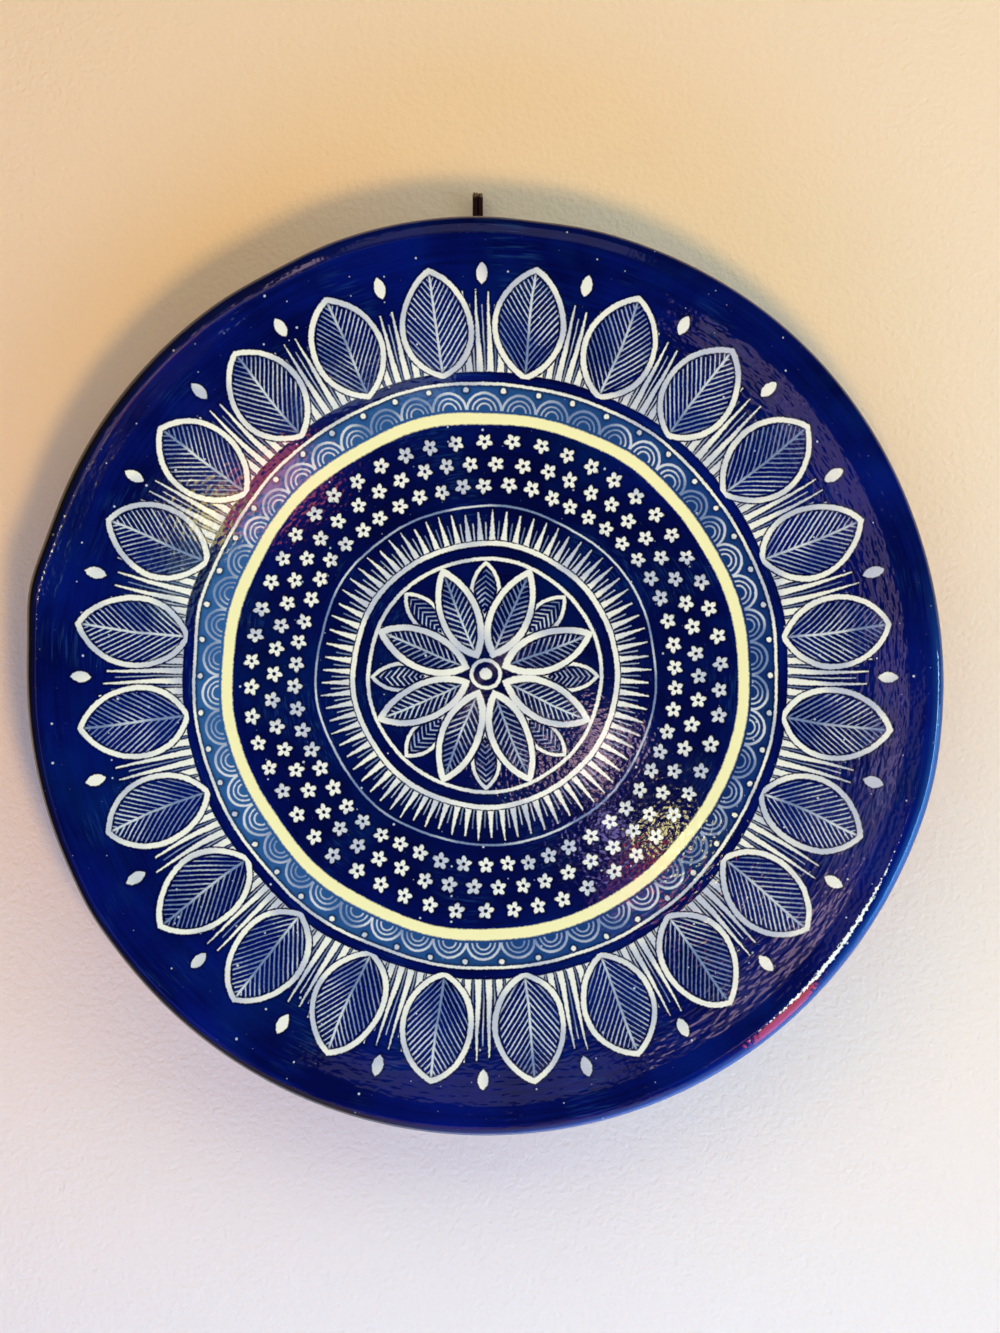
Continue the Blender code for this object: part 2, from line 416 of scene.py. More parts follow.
def drill(side, patch):
    mesh = bmesh.new()
    layer = mesh.loops.layers.uv.new("OFBake")
    size = {"radius1": HOLE_DIAMETER / 2, "radius2": HOLE_DIAMETER / 2, "depth": DRILL_LENGTH}
    bmesh.ops.create_cone(mesh, cap_ends=True, segments=32, calc_uvs=True, **size)
    for face in mesh.faces:
        face.material_index = ZONES.index("back")
        for loop in face.loops:
            loop[layer].uv = loop[layer].uv * PATCH_SIZE + Vector((patch, PATCH_HEIGHT))
    top = CENTRE_Z + (FOOT_INNER + FOOT_OUTER) / 2
    bmesh.ops.translate(mesh, verts=mesh.verts, vec=(side * HOLE_SPACING / 2, 0, top))
    bmesh.ops.scale(mesh, verts=mesh.verts, vec=(MM, MM, MM))
    return put("drill", mesh_data("drill", mesh))


for hole_side, hole_patch in HOLE_PATCHES:
    hole = plate.modifiers.new("hanging_hole", "BOOLEAN")
    hole.operation, hole.solver = "DIFFERENCE", "EXACT"
    hole.object = drill(hole_side, hole_patch)
ready = plate.evaluated_get(bpy.context.evaluated_depsgraph_get())
drilled = bpy.data.meshes.new_from_object(ready)
for cutter in [modifier.object for modifier in plate.modifiers]:
    bpy.data.objects.remove(cutter)
plate.modifiers.clear()
plate.data = drilled
plate.data.set_sharp_from_angle(angle=math.radians(SHARP_ANGLE))
print("drilled plate:", len(plate.data.polygons), "faces")

# %% [markdown]
# ## The hanging wire
#
# One length of soft iron wire goes through both holes, up to the nail and round itself once, and
# its two cut ends stand up behind the rim. The solid's route is repeated with finer steps. A
# curve with a round bevel is the natural way to model wire. It is made a mesh afterwards, so that
# the ends can be bevelled and shown freshly cut.

# %% Route of the wire
WIRE_DIAMETER, STRAND_GAP = 1.8, 0.3
TAIL_ABOVE_RIM, TAIL_SHIFT = 13.1, -3.9
TWIST_START, TWIST_LENGTH, TWIST_STEPS = 3.0, 9.0, 30
STRAND_SETBACK = 0.3  # one cut end stands this much lower than the other
RUN_BELOW = 2.2  # from the foot ring's inside to the run between the holes


def smooth_line(points, steps):
    """A Catmull-Rom curve through the points, ends included."""
    padded = [2 * points[0] - points[1]] + points + [2 * points[-1] - points[-2]]
    line = []
    for a, b, c, d in zip(padded, padded[1:], padded[2:], padded[3:]):
        for t in [i / steps for i in range(steps)]:
            bend = (2 * a - 5 * b + 4 * c - d) * t**2 + (3 * b - a - 3 * c + d) * t**3
            line.append(0.5 * (2 * b + (c - a) * t + bend))
    return line + [points[-1]]


def strand(side, top):
    """Half of the wire, from the middle of its run inside the foot ring up to its cut end."""
    apart = (WIRE_DIAMETER + STRAND_GAP) / 2
    hole_x = HOLE_SPACING / 2
    ring_top = CENTRE_Z + math.sqrt(FOOT_OUTER**2 - hole_x**2)
    ring_bottom = CENTRE_Z + math.sqrt(FOOT_INNER**2 - hole_x**2)
    run = ring_bottom - RUN_BELOW
    corners = [
        (0, run),
        (hole_x - 3.6, run),
        (hole_x - 0.6, run + 1.4),
        (hole_x, ring_bottom + 2),
        (hole_x - 0.2, ring_top - 2),
        (hole_x - 1.6, ring_top + 3.5),
        (apart + 0.9, -3.5),
    ]
    line = smooth_line([Vector((x, 0, z)) for x, z in corners], 5)
    for share in [i / TWIST_STEPS for i in range(TWIST_STEPS + 1)]:
        angle, z = math.tau * share, TWIST_START + TWIST_LENGTH * share
        line.append(Vector((apart * math.cos(angle), apart * math.sin(angle), z)))
    line += [Vector((apart, 0, top - 2)), Vector((apart, 0, top))]
    shares = [min(max(p.z / (TWIST_START + TWIST_LENGTH), 0), 1) for p in line]
    shifts = [TAIL_SHIFT * share**2 * (3 - 2 * share) for share in shares]
    return [Vector((side * p.x + x, side * p.y, p.z)) * MM for p, x in zip(line, shifts)]


tail_top = NAIL_BELOW_RIM + TAIL_ABOVE_RIM
route = strand(-1, tail_top)[::-1] + strand(1, tail_top - STRAND_SETBACK)[1:]
print("wire:", round(sum((b - a).length for a, b in zip(route, route[1:])) / MM), "mm long")

# %% Wire mesh
SCALE_SKIN = 0.15  # furnace scale stands this proud of the iron, and nearly closes the twist
CUT_EDGE = 0.6  # the pliers leave a bright burr round each end


def wire_mesh():
    """The wire as a mesh whose cut ends use the second material."""
    curve = bpy.data.curves.new("wire_route", "CURVE")
    curve.dimensions = "3D"
    curve.bevel_depth = (WIRE_DIAMETER / 2 + SCALE_SKIN) * MM
    curve.bevel_resolution = 5
    curve.use_fill_caps = True
    spline = curve.splines.new("POLY")
    spline.points.add(len(route) - 1)
    for point, place in zip(spline.points, route):
        point.co = (*place, 1)
    holder = put("wire_route", curve)
    ready = holder.evaluated_get(bpy.context.evaluated_depsgraph_get())
    data = bpy.data.meshes.new_from_object(ready)
    bpy.data.objects.remove(holder)
    mesh = bmesh.new()
    mesh.from_mesh(data)
    bmesh.ops.remove_doubles(mesh, verts=mesh.verts, dist=0.01 * MM)
    caps = [face for face in mesh.faces if len(face.verts) == 3]
    ends = bmesh.ops.dissolve_faces(mesh, faces=caps)["region"]
    tips = [face.calc_center_median() for face in ends]
    rims = [edge for face in ends for edge in face.edges]
    burr = {"offset": CUT_EDGE * MM, "segments": 3, "profile": 0.5, "material": -1}
    bmesh.ops.bevel(mesh, geom=rims, affect="EDGES", **burr)
    for face in mesh.faces:
        away = min((face.calc_center_median() - tip).length for tip in tips)
        face.material_index = 1 if away < WIRE_DIAMETER / 2 * MM else 0
        face.smooth = len(face.verts) == 4
    mesh.to_mesh(data)
    mesh.free()
    return data, len(tips)


wire_data, cut_ends = wire_mesh()
wire = put("twisted_wire", wire_data)
print("wire:", len(wire_data.polygons), "faces,", cut_ends, "cut ends")

# %% [markdown]
# ## The drawing plane
#
# The drawing is worked out from where a point lies on the face. A Mapping node turns metres to
# millimetres about the plate's middle and lays the upright face flat in x and y. Two noises then
# move every point a little: a slow drift, as of a hand on a long line, and a quick shake, as of
# a point that jumps over grit. Last come the radius and the turn round the plate, because the
# ornament is laid out in rings.

# %% Drawing plane
HAND_DRIFT, DRIFT_WIDTH = 2.2, 34.0
HAND_SHAKE, SHAKE_WIDTH = 0.3, 6.0
Plane = namedtuple("Plane", "flat radius turn")


def drawing_plane(tree):
    """The face laid flat, in millimetres: the place, the radius and the share of a whole turn."""
    middle = -(HAND_DRIFT + HAND_SHAKE) / 2
    upright = {
        "Vector": add("TexCoord", tree=tree).outputs["Object"],
        "Location": (middle, -CENTRE_Z + middle, 0),
        "Rotation": (-math.pi / 2, 0, 0),
        "Scale": (1 / MM, 0, 1 / MM),
    }
    placed = add("Mapping", upright)
    drifts = grain(placed, DRIFT_WIDTH).outputs["Color"]
    shakes = grain(placed, SHAKE_WIDTH, 1.0).outputs["Color"]
    moved = add("VectorMath.MULTIPLY_ADD", (drifts, (HAND_DRIFT, HAND_DRIFT, 0), placed))
    moved = add("VectorMath.MULTIPLY_ADD", (shakes, (HAND_SHAKE, HAND_SHAKE, 0), moved))
    radius = add("VectorMath.LENGTH", (moved,)).outputs["Value"]
    axes = add("SeparateXYZ", (moved,))
    angle = add("Math.ARCTAN2", (axes.outputs["Y"], axes.outputs["X"]))
    turn = times_plus(angle, 1 / math.tau, 0.5).outputs[0]
    return Plane(moved.outputs[0], radius, turn)


# %% [markdown]
# ## Shapes that a scratching tool makes
#
# Each motif is a field: a number that says how far a point is outside the scratched line, and is
# below zero on it. The nearer of two fields draws both motifs, and the farther of two keeps only
# where they cross, so any ornament can be built from a few such steps. The ring is divided into
# equal cells, and all cells share one drawing. Their number gives each its own small chances.

# %% Fields
Cell = namedtuple("Cell", "number aside")
BROAD_LINE, MIDDLE_LINE, HAIR_LINE = 2.4, 1.4, 0.6
VEIN_THINNER, RAY_TIP, RAY_SHORT = 0.2, 0.15, 0.14


def step_of(value):
    """The whole number below a value, and how far past the middle of its step the value is."""
    whole = add("Math.FLOOR", (value,))
    return whole, plus(minus(value, whole), -0.5)


def distance(across, along):
    apart = add("CombineXYZ", (across, along))
    return add("VectorMath.LENGTH", (apart,)).outputs["Value"]


def cells(plane, count, shift=0.0):
    """Divides the turn into cells: each one's number, and how far from its middle a point is."""
    whole, share = step_of(times_plus(plane.turn, count, shift))
    aside = times(share, times(plane.radius, math.tau / count))
    number = add("Math.FLOORED_MODULO", (whole, count))
    return Cell(number.outputs[0], aside.outputs[0])


def from_radius(plane, radius):
    return minus(plane.radius, radius)


def line(field, width):
    """A line of that width along where the field is zero."""
    return minus(add("Math.ABSOLUTE", (field,)), width / 2)


def ring_line(plane, radius, width):
    return line(from_radius(plane, radius), width)


def nearest(*fields):
    found = fields[0]
    for field in fields[1:]:
        found = add("Math.MINIMUM", (found, field))
    return found


def within(field, limit, chance=None, spread=0.0):
    """The field kept inside a limit, by a margin that a chance may widen."""
    if chance is not None:
        limit = times_plus(chance, spread, limit)
    return add("Math.MAXIMUM", (field, limit))


def leaf(along, aside, length, width):
    """The inside of a leaf between two arcs, pointed at both ends."""
    half, reach = width / 2, length / 2
    radius = (reach**2 + half**2) / width
    out = plus(add("Math.ABSOLUTE", (aside,)), radius - half)
    return minus(distance(out, along), radius)


def veins(along, cell, inside, pitch, slant, inset, spread, rib=0.0):
    """Veins that slant from a midrib inside a leaf. Some are thinner, and some stop short."""
    climbed = times_plus(add("Math.ABSOLUTE", (cell.aside,)), -slant, along)
    whole, share = step_of(add("Math.DIVIDE", (climbed, pitch)))
    away = times(share, pitch / math.hypot(1, slant))
    side = add("Math.SIGN", (cell.aside,))
    seed = add("CombineXYZ", (whole, cell.number, side))
    chance = add("TexWhiteNoise", {"Vector": seed}, noise_dimensions="3D")
    thinner = times(chance.outputs["Color"], VEIN_THINNER)
    hatch = plus(line(away, HAIR_LINE), thinner)
    edge = plus(inside, inset)
    hatch = within(hatch, edge, chance.outputs["Value"], spread)
    if rib:
        hatch = nearest(hatch, within(line(cell.aside, rib), edge))
    return hatch


def ray(plane, cell, start, end, width):
    """A stroke that starts broad and lifts off to a point, some way short of its full length."""
    chance = {"W": cell.number}
    chance = add("TexWhiteNoise", chance, noise_dimensions="1D").outputs["Value"]
    share = ramp(plane.radius, start, end)
    half = times_plus(share, RAY_TIP - width / 2, width / 2)
    side = minus(add("Math.ABSOLUTE", (cell.aside,)), half)
    before = minus(start, plane.radius)
    top = times_plus(chance, RAY_SHORT * (end - start), plane.radius)
    return within(within(side, before), minus(top, end))


print("lines:", BROAD_LINE, MIDDLE_LINE, HAIR_LINE, "mm wide")

# %% [markdown]
# ## The ornament
#
# The face carries a generic radial ornament: a rosette of eight hatched petals, a ring of short
# tapered rays, rows of small five-petalled florets, a cream-yellow ring with a scalloped border on
# thinned blue slip, and a crown of veined leaves with tapered strokes between them. Broad lines
# are scratched with a loop tool down to the cream clay. The fine ones are cut with a needle, which
# leaves them thinner and bluer, so each ring gives two fields: broad lines and hair lines.

# %% Rosette
Drawing = namedtuple("Drawing", "broad hair ring thin", defaults=(None, None, None))
PETALS_ROUND, PETAL_MIDDLE, BETWEEN_MIDDLE = 8, 26.5, 34.0
EYE, EYE_RING, ROSETTE_RING, PETAL_CLEAR = 2.4, 5.6, 46.2, 2.0


def draw_rosette(plane):
    petal, between = cells(plane, PETALS_ROUND), cells(plane, PETALS_ROUND, 0.5)
    along, far = from_radius(plane, PETAL_MIDDLE), from_radius(plane, BETWEEN_MIDDLE)
    big = leaf(along, petal.aside, length=36.0, width=14.5)
    small = leaf(far, between.aside, length=21.0, width=10.5)
    outside = minus(PETAL_CLEAR, big)
    broad = nearest(
        line(big, BROAD_LINE),
        within(line(small, MIDDLE_LINE), outside),
        ring_line(plane, EYE_RING, MIDDLE_LINE),
        from_radius(plane, EYE),
        ring_line(plane, ROSETTE_RING, MIDDLE_LINE),
    )
    hatch = veins(along, petal, big, pitch=2.5, slant=1.0, inset=1.2, spread=1.0, rib=0.78)
    fine = veins(far, between, small, pitch=2.2, slant=-0.8, inset=0.8, spread=1.5)
    return Drawing(broad, nearest(hatch, within(fine, outside)))


# %% Rays
RAYS_ROUND, RAY_START = 76, 53.8
INNER_RING, OUTER_RING = 52.4, 67.6


def draw_rays(plane):
    stroke = ray(plane, cells(plane, RAYS_ROUND), RAY_START, end=66.0, width=2.3)
    ring = ring_line(plane, INNER_RING, BROAD_LINE * 0.8)
    between = cells(plane, RAYS_ROUND, 0.5)
    hair = ray(plane, between, RAY_START, end=61.5, width=HAIR_LINE)
    edge = ring_line(plane, OUTER_RING, HAIR_LINE * 1.3)
    return Drawing(nearest(stroke, ring), nearest(hair, edge))


# %% Florets
PETALS, FLORET_EYE = 5, 0.75
PETAL_DIP, PETAL_SWELL, PETAL_SLOPE = 1.4, 1.7, 0.7
SCATTER = 0.9  # how far a floret may stray


def draw_florets(plane):
    rows, count, pitch, start = 3, 54, 8.7, 71.3
    row, share = step_of(times_plus(plane.radius, 1 / pitch, -start / pitch))
    along = times(share, pitch)
    staggered = times_plus(row, 0.5 / count, plane.turn)
    cell = cells(plane._replace(turn=staggered.outputs[0]), count)
    seed = add("CombineXYZ", (row, cell.number))
    chance = add("TexWhiteNoise", {"Vector": seed}, noise_dimensions="3D")
    centred = add("CombineXYZ", (cell.aside, along))
    moved = (chance.outputs["Color"], (SCATTER, SCATTER, 0), centred)
    moved = add("VectorMath.MULTIPLY_ADD", moved)
    moved = add("VectorMath.ADD", (moved, (-SCATTER / 2, -SCATTER / 2, 0)))
    axes = add("SeparateXYZ", (moved,))
    angle = add("Math.ARCTAN2", (axes.outputs["Y"], axes.outputs["X"]))
    tilt = times_plus(angle, PETALS / 2, chance.outputs["Value"])
    lobes = add("Math.ABSOLUTE", (add("Math.COSINE", (tilt,)),))
    reach = times_plus(lobes, PETAL_SWELL, PETAL_DIP)
    away = add("VectorMath.LENGTH", (moved,)).outputs["Value"]
    petals = times(minus(away, reach), PETAL_SLOPE)
    petals = within(petals, minus(FLORET_EYE, away))
    field = line(from_radius(plane, start + rows * pitch / 2), rows * pitch)
    return Drawing(within(petals, field))


# %% Scalloped border
SCALLOPS_ROUND, SCALLOP_FOOT = 50, 105.6
ARCHES = ((6.5, 0.96), (4.4, HAIR_LINE), (2.6, HAIR_LINE))  # radius and width of line
DOT_PLACE, DOT_RADIUS = 113.2, 1.0
RIM, CREAM_RING, THIN_BAND = (115.6, 1.12), (102.3, 4.3), (109.6, 11.0)  # middle and width


def draw_scallops(plane):
    cell, joint = [cells(plane, SCALLOPS_ROUND, shift) for shift in (0.0, 0.5)]
    up = from_radius(plane, SCALLOP_FOOT)
    away = distance(cell.aside, up)
    arches = [line(minus(away, radius), width) for radius, width in ARCHES]
    arches = within(nearest(*arches), times(up, -1.0))
    dot = minus(distance(joint.aside, from_radius(plane, DOT_PLACE)), DOT_RADIUS)
    rim, ring, thin = [ring_line(plane, *band) for band in (RIM, CREAM_RING, THIN_BAND)]
    return Drawing(nearest(dot, rim), arches, ring, thin)


# %% Crown of leaves
LEAVES_ROUND, LEAF_MIDDLE, BUD_MIDDLE, LEAF_CLEAR = 24, 139.5, 158.0, 1.6
STROKES_ROUND, STROKE_START = 8 * LEAVES_ROUND, 120.2


def draw_leaves(plane):
    cell, gap = cells(plane, LEAVES_ROUND), cells(plane, LEAVES_ROUND, 0.5)
    along = from_radius(plane, LEAF_MIDDLE)
    big = leaf(along, cell.aside, length=41.0, width=27.0)
    outside = minus(LEAF_CLEAR, big)
    strokes = cells(plane, STROKES_ROUND)
    strokes = ray(plane, strokes, STROKE_START, end=152.0, width=2.5)
    bud = leaf(from_radius(plane, BUD_MIDDLE), gap.aside, length=8.0, width=4.2)
    broad = nearest(line(big, BROAD_LINE * 0.85), within(strokes, outside), bud)
    hatch = veins(along, cell, big, pitch=2.9, slant=1.35, inset=1.1, spread=1.2, rib=0.9)
    fan = cells(plane, STROKES_ROUND, 0.5)
    fan = ray(plane, fan, STROKE_START, end=147.0, width=HAIR_LINE)
    return Drawing(broad, nearest(hatch, within(fan, outside)))


# %% [markdown]
# ## Cobalt slip under clear glaze
#
# Slip is liquid clay, and cobalt in it fires to a deep blue. Brushed on as the plate turns, it
# lies in streaks along the ring, thick and nearly black towards the middle and greener here and
# there. Burst bubbles dot it and other ware has scuffed it. Scratched lines show the cream clay
# and have a dark lip of pushed-up slip beside them. The clear glaze over it all is glass: IOR 1.5
# and smooth, but it settles into low ripples, deepest on one side, and crazes finely, so a light
# mirrored in it breaks up into chips. The lip is worn to the clay in places, and on two sides
# its crest has wider patches of cream that are partly wear and partly painted highlights. Its
# outer roll has painted light, a brighter blue, on the lower right, and painted shade, nearly
# black, on the left and below.

# %% Colours of the ware
SLIP_DEEP, SLIP_BLUE, SLIP_GREENER = linear("#000740"), linear("#021468"), linear("#00265E")
# The nearly black and the brighter blue of the lip's outer roll, below, are painted shade and
# painted light.
SLIP_THIN, SLIP_LIP, LIP_PAINTED_SHADE = linear("#2E6296"), linear("#010526"), linear("#101119")
LIP_PAINTED_LIGHT, SLIP_THICK = linear("#1C569C"), linear("#000529")
CLAY_CREAM, CLAY_COOL, CLAY_RING = linear("#F1F8DF"), linear("#C2CED0"), linear("#FAFCB7")
HAIR_BLUE, HAIR_PALE = linear("#7890AA"), linear("#D2E0DA")
GLAZE_IOR, GLAZE_ROUGHNESS = 1.5, 0.07
STREAK_LENGTH, STREAK_WIDTH = 36.0, 1.3
RIDGE_LENGTH, RIDGE_WIDTH, RIDGE_LEAST, RIDGE_MORE = 5.0, 2.0, 0.045, 0.2
RIDGE_SIDE = -20.0  # degrees round: the side where the glaze is most rippled
RIDGES_FROM_TO, THICK_FROM_TO = (95.0, 140.0), (112.0, 88.0)  # radii: from none to most
CRAZE_WIDTH, CRAZE_HEIGHT = 1.7, 0.024
SPECK_SPACING, SPECK_RADIUS = 12.0, 0.5
CLOUD_WIDTH, WORN_WIDTH, GRIT_WIDTH = 48.0, 26.0, 1.1
SCUFF_PATCH, SCUFF_LENGTH, SCUFF_WIDTH = 27.0, 9.0, 0.7
STREAK_SHARE = 0.55  # how strong the streaks are beside the clouds
LEVEL = 140.0  # the radius at which streaks have just these lengths


def streaks(plane, length, width, detail=2.0):
    """Noise drawn out round the plate, as by a brush on a turning wheel."""
    around = LEVEL / length
    spoke = add("VectorMath.NORMALIZE", (plane.flat,))
    out = add("CombineXYZ", {"Z": add("Math.DIVIDE", (plane.radius, width))})
    place = add("VectorMath.MULTIPLY_ADD", (spoke, (around, around, 0), out))
    return add("TexNoise", {"Vector": place, "Scale": 1.0, "Detail": detail}).outputs[0]


def specks(plane):
    """Grit and burst bubbles: pale dots, most of them too small to notice."""
    spot = {"Vector": plane.flat, "Scale": 1 / SPECK_SPACING}
    spot = add("TexVoronoi", spot, voronoi_dimensions="2D")
    chance = add("SeparateXYZ", (spot.outputs["Color"],)).outputs["X"]
    size = ramp(chance, 0.45, 1.0, 0.0, SPECK_RADIUS / SPECK_SPACING)
    away = minus(spot.outputs["Distance"], size)
    return drawn(times(away, SPECK_SPACING), 0.3)


def scuffs(plane):
    """Patches of fine scratches along the ring, where other ware has rubbed."""
    where = ramp(grain(plane.flat, SCUFF_PATCH), 0.56, 0.72)
    fine = streaks(plane, SCUFF_LENGTH, SCUFF_WIDTH, 1.0)
    return times(ramp(fine, 0.5, 0.75, 0.0, 0.2), where)


def slip_colour(plane):
    clouds = grain(plane.flat, CLOUD_WIDTH, 3.0, 0.6)
    brushed = streaks(plane, STREAK_LENGTH, STREAK_WIDTH)
    both = times_plus(brushed, STREAK_SHARE, clouds)
    colour = mix(ramp(both, 0.55, 1.05), SLIP_DEEP, SLIP_BLUE)
    thick = ramp(plane.radius, *THICK_FROM_TO, 0.0, 0.5)
    colour = mix(thick, colour, SLIP_THICK)
    greener = ramp(clouds.outputs["Color"], 0.5, 0.8, 0.0, 0.5)
    colour = mix(greener, colour, SLIP_GREENER)
    colour = mix(scuffs(plane), colour, SLIP_THIN)
    return mix(specks(plane), colour, CLAY_COOL)


# %% Scratched lines
# The band of thinned slip is real; it is painted paler towards this side as a painted reflection
# of pale sky.
SKY_SHEEN_SIDE = 170.0  # degrees round: the side where the ring's slip was brushed thin
RAGGED, HAIR_RAGGED = 0.5, 0.3
PUSHED_OUT, PUSHED_SOFT, PUSHED_SHARE = 0.75, 1.3, 0.75


def beside(plane, degrees, least):
    """One beside that angle, falling to zero where the cosine of the way to it is the least."""
    angle = times_plus(plane.turn, math.tau, -math.pi - math.radians(degrees))
    return ramp(add("Math.COSINE", (angle,)), least, 1.0)


def drawn(field, soft=0.4):
    """How much of a point a line covers: all of it inside, none outside, and a soft edge."""
    return add("Math.MULTIPLY_ADD", (field, -1 / soft, 0.5), use_clamp=True)


def scratch(plane, colour, drawing):
    """The slip's colour with a drawing scratched through it."""
    grit = grain(plane.flat, GRIT_WIDTH, 1.0)
    worn = grain(plane.flat, WORN_WIDTH, 1.0)
    if drawing.thin:
        # Painted reflection: the thinned band grows paler towards one side.
        thinner = ramp(beside(plane, SKY_SHEEN_SIDE, -1), 0.0, 1.0, 0.2)
        thinner = times(drawn(drawing.thin, 1.5), thinner)
        colour = mix(thinner, colour, SLIP_THIN)
    if drawing.hair:
        pale = mix(ramp(worn, 0.42, 0.62), HAIR_BLUE, HAIR_PALE)
        hair = times_plus(grit, HAIR_RAGGED, drawing.hair)
        hair = drawn(plus(hair, -HAIR_RAGGED / 2))
        colour = mix(hair, colour, pale)
    ragged = times_plus(grit, RAGGED, -RAGGED / 2)
    broad = plus(drawing.broad, ragged)
    pushed = times(drawn(plus(broad, -PUSHED_OUT), PUSHED_SOFT), PUSHED_SHARE)
    colour = mix(pushed, colour, SLIP_LIP)
    clay = mix(ramp(worn, 0.46, 0.66), CLAY_CREAM, CLAY_COOL)
    colour = mix(drawn(broad), colour, clay)
    if drawing.ring:
        ring = drawn(plus(drawing.ring, ragged), 0.6)
        colour = mix(ring, colour, CLAY_RING)
    return colour


# %% Worn lip
CREST_RUN = walk_along(front_line)[-2 - ROLL_STEPS - CREST_STEPS // 2]
CHIP = 1.4
# On these two sides the chips of bared clay widen into cream patches that are partly wear and
# partly painted highlights on the crest.
CHIPS_AND_HIGHLIGHTS = ((-37.0, 0.95, 1.5), (163.0, 0.97, 0.7))  # degrees round, least cosine, millimetres
CHIP_UNEVEN, CHIP_LEAST = 2.6, 2.1
# Painted light and shade on the lip's outer roll: nearly black where it is in shade on the left
# and below, a brighter blue where the light falls on the lower right.
# degrees round, least cosine, gain, millimetres out to where it starts and is full, colour
EDGES = ((200.0, 0.0, 1.6, 0.6, 2.8, LIP_PAINTED_SHADE), (-45.0, 0.5, 1.15, 1.4, 4.6, LIP_PAINTED_LIGHT))


def lip_wear_and_painted_light(tree, plane, colour):
    """The crest's bared clay and painted highlights, and the roll's painted light and shade."""
    (u, v), size = FRONT_DISC
    spot = add("UVMap", tree=tree, uv_map="OFBake")
    out = add("VectorMath.SUBTRACT", (spot, (u, v, 0)))
    run = add("VectorMath.LENGTH", (out,)).outputs["Value"]
    away = times_plus(run, front_run / size, -CREST_RUN)
    width = times(grain(plane.flat, CHIP, 3.0), CHIP_UNEVEN)
    # Wider cream on two sides of the crest: partly wear, partly painted highlights.
    for side, least, more in CHIPS_AND_HIGHLIGHTS:
        width = times_plus(beside(plane, side, least), more, width)
    chipped_and_highlit = plus(minus(add("Math.ABSOLUTE", (away,)), width), CHIP_LEAST)
    # Painted shade and painted light along the outer roll, by the side of the plate.
    for side, least, gain, start, full, edge in EDGES:
        share = (beside(plane, side, least), gain)
        share = add("Math.MULTIPLY", share, use_clamp=True)
        share = times(ramp(away, start, full), share)
        colour = mix(share, colour, edge)
    return mix(drawn(chipped_and_highlit, 0.3), colour, CLAY_CREAM)


# %% Ware material
def glazed_ware(tree, draw=None):
    """One ring of the face: slip, its drawing if it has one, and the glaze over both."""
    plane = drawing_plane(tree)
    colour, height = slip_colour(plane), RIDGE_LEAST
    if draw:
        colour = scratch(plane, colour, draw(plane))
        outer = ramp(plane.radius, *RIDGES_FROM_TO, 0.0, RIDGE_MORE)
        rippled = beside(plane, RIDGE_SIDE, -0.5)
        height = times_plus(outer, rippled, height)
    else:
        colour = lip_wear_and_painted_light(tree, plane, colour)
    height = times(streaks(plane, RIDGE_LENGTH, RIDGE_WIDTH, 1.0), height)
    height = times_plus(grain(plane.flat, CRAZE_WIDTH), CRAZE_HEIGHT, height)
    return surface(tree, colour, GLAZE_ROUGHNESS, height, IOR=GLAZE_IOR)


DRAWINGS = (draw_rosette, draw_rays, draw_florets, draw_scallops, draw_leaves)
for ring_name, ring_drawing in zip(RING_EDGES, DRAWINGS):
    ring_finish = material(f"cobalt_slip_with_{ring_name}", glazed_ware, ring_drawing)
    plate.data.materials.append(ring_finish)
plate.data.materials.append(material("cobalt_slip_plain", glazed_ware))
print("finishes of the face:", len(plate.data.materials))

# %% [markdown]
# ## The back and the foot
#
# The back is brushed with thinner slip and glazed with less care, so it is duller. The foot ring
# stood on the kiln shelf, and its edge was wiped clean or it would have stuck there: bare, matt,
# buff earthenware.


# %% Back and foot
BACK_ROUGHNESS, BACK_RELIEF = 0.3, 0.12
BACK_STREAK_LENGTH, BACK_STREAK_WIDTH = 60.0, 2.2
CLAY_ROUGHNESS, CLAY_IOR, CLAY_GRIT, CLAY_RELIEF = 0.85, 1.45, 0.9, 0.15


def back_slip(tree):
    brushed = streaks(drawing_plane(tree), BACK_STREAK_LENGTH, BACK_STREAK_WIDTH)
    bare = ramp(brushed, 0.35, 0.7)
    colour = mix(bare, linear("#071A5C"), linear("#1B3C8C"))
    height = times(brushed, BACK_RELIEF)
    return surface(tree, colour, BACK_ROUGHNESS, height, IOR=GLAZE_IOR)


def bare_clay(tree):
    grit = grain(drawing_plane(tree).flat, CLAY_GRIT, 2.0)
    colour = mix(grit, linear("#A9774E"), linear("#D0A47C"))
    height = times(grit, CLAY_RELIEF)
    return surface(tree, colour, CLAY_ROUGHNESS, height, IOR=CLAY_IOR)


plate.data.materials.append(material("cobalt_slip_back", back_slip))
plate.data.materials.append(material("bare_earthenware", bare_clay))
print("finishes of the plate:", [finish.name for finish in plate.data.materials])

# %% [markdown]
# ## Iron wire
#
# Annealed iron wire is sold with a dark brown oxide skin from the furnace, half metal and half
# scale: dull, with a soft sheen. The pliers scraped the skin off in spots where they gripped the
# ends, and where they cut through, bright metal shows. The pale spots near the ends are partly
# scraped metal and partly painted highlights.


# %% Iron wire
# The scraped spots near the ends also serve as painted highlights.
GRIPPED, SPOT_WIDTH = 2.4, 0.9  # how much of each end the pliers scraped, and in what spots
SKIN_ROUGHNESS, SKIN_METALLIC, CUT_ROUGHNESS = (0.38, 0.6), 0.65, 0.3


